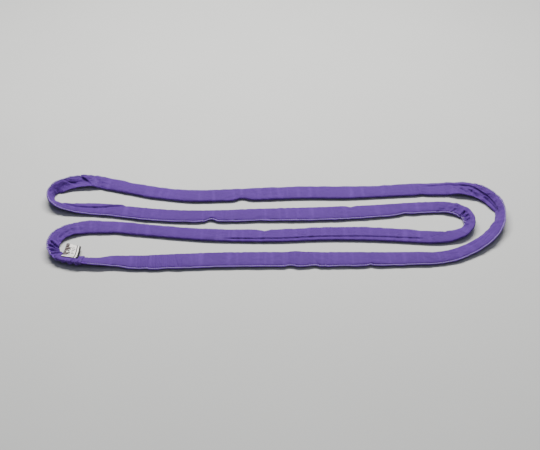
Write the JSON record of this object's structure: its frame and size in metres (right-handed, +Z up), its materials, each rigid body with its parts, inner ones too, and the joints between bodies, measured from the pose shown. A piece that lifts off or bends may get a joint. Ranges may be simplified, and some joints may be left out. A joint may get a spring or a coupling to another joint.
{
  "type": "round sling",
  "caption": "Endless round lifting sling: a loop of core yarn in a loose woven violet sleeve, laid in a flat C, with a sewn cuff and a label.",
  "frame": {"origin": "on the surface the sling lies on, under the middle of its bounding box", "axes": "+X along the runs, towards the wide bight; +Z up"},
  "size_m": [1.2617, 0.3623, 0.0305],
  "materials": {
    "sleeve_cloth": "matt woven polyester",
    "core_yarn": "natural polyester yarn",
    "tie_tape": "woven tape",
    "sewing_thread": "lustrous thread",
    "label_backing": "dark woven tape",
    "label_face": "satin printed cloth"
  },
  "bodies": {
    "right_half": {"sleeve_outer_bight": "sleeve_cloth", "sleeve_inner_bight": "sleeve_cloth", "core_outer_bight": "core_yarn", "core_inner_bight": "core_yarn", "core_tie_02": "tie_tape", "core_tie_03": "tie_tape", "core_tie_04": "tie_tape", "core_tie_05": "tie_tape", "core_tie_08": "tie_tape", "core_tie_09": "tie_tape", "core_tie_10": "tie_tape", "core_tie_11": "tie_tape"},
    "left_half": {"sleeve_front_left": "sleeve_cloth", "sleeve_upper_left_bight": "sleeve_cloth", "sleeve_lower_left_bight": "sleeve_cloth", "core_upper_left_bight": "core_yarn", "core_lower_left_bight": "core_yarn", "core_tie_01": "tie_tape", "core_tie_06": "tie_tape", "core_tie_07": "tie_tape", "core_tie_12": "tie_tape", "join_cuff": "sleeve_cloth", "cuff_seam_left": "sewing_thread", "cuff_seam_right": "sewing_thread", "label_margin": "label_backing", "label_stitching": "sewing_thread"},
    "label": {"label_backing": "label_backing", "label_face": "label_face"}
  },
  "joints": [
    {"name": "sling_fold", "type": "hinge", "parent": "right_half", "child": "left_half", "pos_m": [-0.15, 0, 0.015], "axis": [0, 1, 0], "range_deg": [0, 176]},
    {"name": "label_flap", "type": "hinge", "parent": "left_half", "child": "label", "pos_m": [-0.52012, -0.14128, 0.0189], "axis": [0.9848, -0.1712, -0.0298], "range_deg": [0, 160]}
  ]
}
